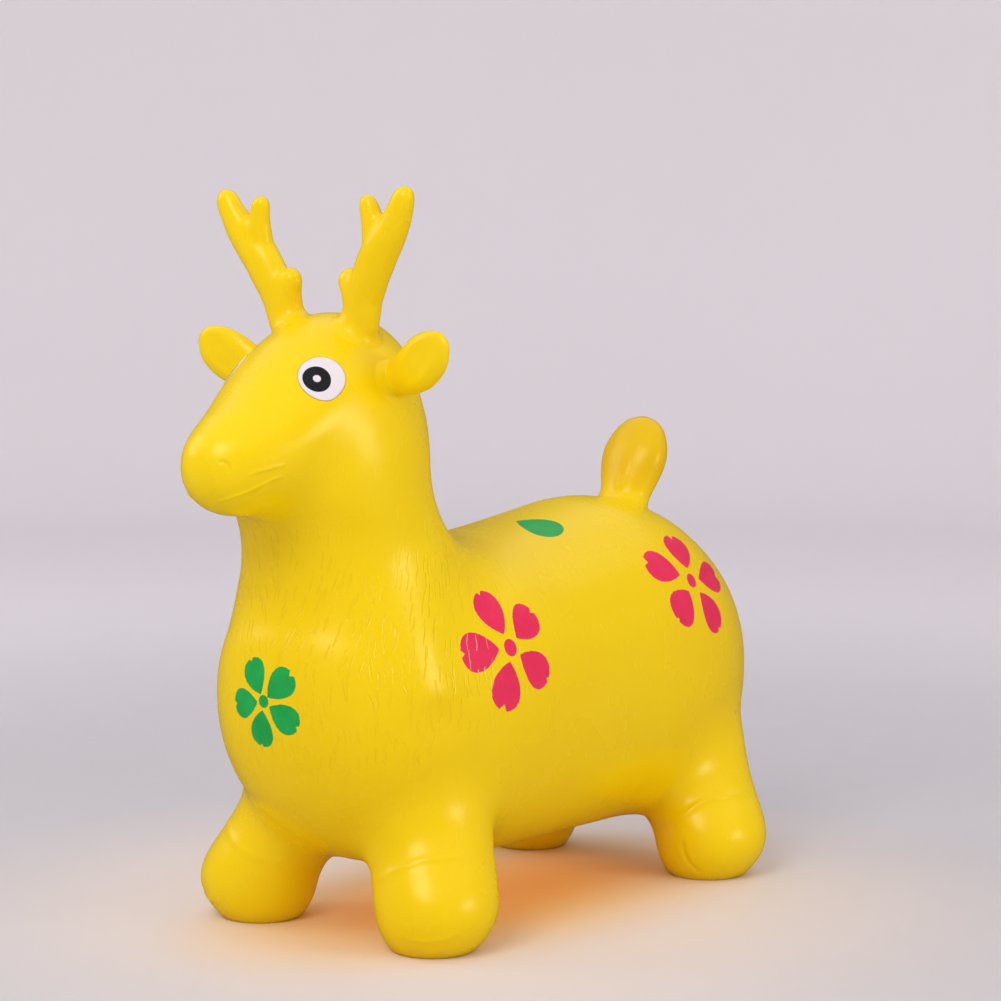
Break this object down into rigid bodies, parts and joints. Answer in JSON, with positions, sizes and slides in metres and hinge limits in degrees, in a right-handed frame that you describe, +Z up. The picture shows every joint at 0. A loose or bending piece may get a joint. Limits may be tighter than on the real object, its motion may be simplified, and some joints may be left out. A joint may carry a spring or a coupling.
{
  "type": "bouncy ride-on animal",
  "caption": "Inflatable soft PVC deer that a small child sits astride and bounces on, with short legs, an upright neck, antlers to hold, side ears and a stub tail.",
  "frame": {"origin": "on the floor, under the middle of the toy's bounding box", "axes": "+Z up; the nose points to -Y; the toy's left side is +X"},
  "size_m": [0.2704, 0.5708, 0.5281],
  "materials": {
    "yellow_pvc": "satin soft PVC, moulded and blown up",
    "white_paint": "satin sprayed paint film",
    "black_paint": "satin sprayed paint film",
    "valve_rubber": "satin natural PVC"
  },
  "bodies": {
    "legs": {"front_left_leg": "yellow_pvc", "front_right_leg": "yellow_pvc", "rear_left_leg": "yellow_pvc", "rear_right_leg": "yellow_pvc"},
    "body": {"torso_skin": "yellow_pvc", "neck_skin": "yellow_pvc", "head_skin": "yellow_pvc", "valve_insert": "valve_rubber", "left_eye_white": "white_paint", "left_eye_pupil": "black_paint", "left_eye_glint": "white_paint", "right_eye_white": "white_paint", "right_eye_pupil": "black_paint", "right_eye_glint": "white_paint"},
    "left_ear": {"left_ear": "yellow_pvc"},
    "right_ear": {"right_ear": "yellow_pvc"},
    "left_antler": {"left_antler": "yellow_pvc"},
    "right_antler": {"right_antler": "yellow_pvc"},
    "tail": {"tail": "yellow_pvc"},
    "valve_plug": {"valve_plug": "valve_rubber"}
  },
  "joints": [
    {"name": "bounce", "type": "slide", "parent": "legs", "child": "body", "axis": [0, 0, 1], "range_m": [-0.03, 0], "stiffness_N_per_m": 4000, "springref_m": 0.004, "deforming": ["front_left_leg", "front_right_leg", "rear_left_leg", "rear_right_leg"]},
    {"name": "left_antler_flex", "type": "hinge", "parent": "body", "child": "left_antler", "pos_m": [0.02908, -0.157, 0.42655], "axis": [1, 0, 0], "range_deg": [-12, 12], "stiffness_Nm_per_rad": 1},
    {"name": "right_antler_flex", "type": "hinge", "parent": "body", "child": "right_antler", "pos_m": [-0.02908, -0.157, 0.42655], "axis": [1, 0, 0], "range_deg": [-12, 12], "stiffness_Nm_per_rad": 1},
    {"name": "left_ear_flex", "type": "hinge", "parent": "body", "child": "left_ear", "pos_m": [0.05144, -0.157, 0.399], "axis": [0, 1, 0], "range_deg": [-15, 15], "stiffness_Nm_per_rad": 0.3},
    {"name": "right_ear_flex", "type": "hinge", "parent": "body", "child": "right_ear", "pos_m": [-0.05144, -0.157, 0.399], "axis": [0, 1, 0], "range_deg": [-15, 15], "stiffness_Nm_per_rad": 0.3},
    {"name": "tail_flex", "type": "hinge", "parent": "body", "child": "tail", "pos_m": [0, 0.188, 0.27831], "axis": [1, 0, 0], "range_deg": [-15, 15], "stiffness_Nm_per_rad": 0.6},
    {"name": "plug_pull", "type": "slide", "parent": "body", "child": "valve_plug", "axis": [0, 1, 0], "range_m": [0, 0.03]}
  ]
}
